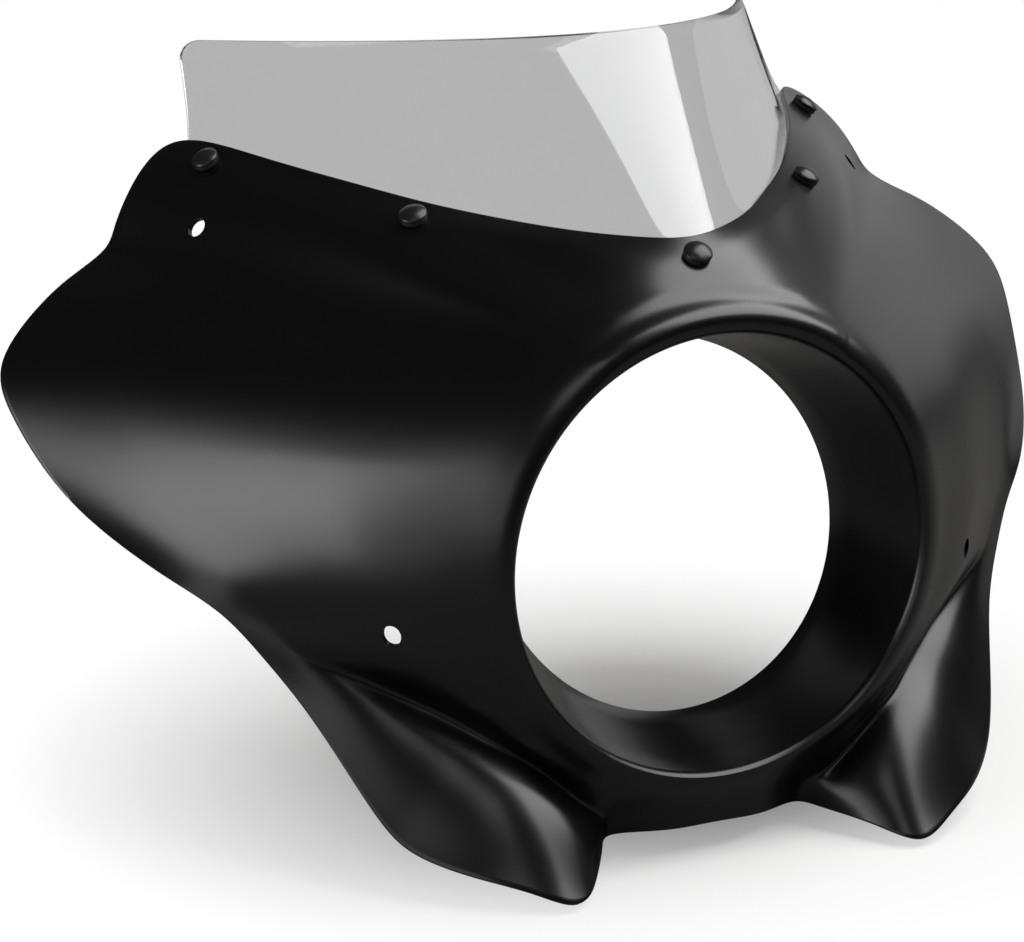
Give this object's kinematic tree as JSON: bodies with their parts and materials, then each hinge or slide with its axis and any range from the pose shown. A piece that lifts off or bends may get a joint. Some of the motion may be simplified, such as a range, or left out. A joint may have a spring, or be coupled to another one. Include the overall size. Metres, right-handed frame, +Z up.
{
  "type": "headlight cowl",
  "caption": "Satin black motorbike headlight cowl with a round lamp opening, swept wings, chin pods and a bent smoked windscreen held by dome-head screws.",
  "frame": {"origin": "centre of the bezel round the lamp opening, on the lamp's axis", "axes": "-Y forward out of the lamp along its axis, +Z up, +X to the right as seen from in front of the motorbike"},
  "size_m": [0.57, 0.3344, 0.3808],
  "materials": {
    "moulding": "satin",
    "smoked_acrylic": "polished, see-through",
    "black_screw": "satin",
    "rubber": "matt",
    "steel": "plated"
  },
  "bodies": {
    "root": {"cowl_shell": "moulding", "windscreen": "smoked_acrylic", "screen_screws": "black_screw", "head_pads": "rubber", "nut_pads": "rubber", "flange_nuts": "steel"}
  },
  "joints": []
}
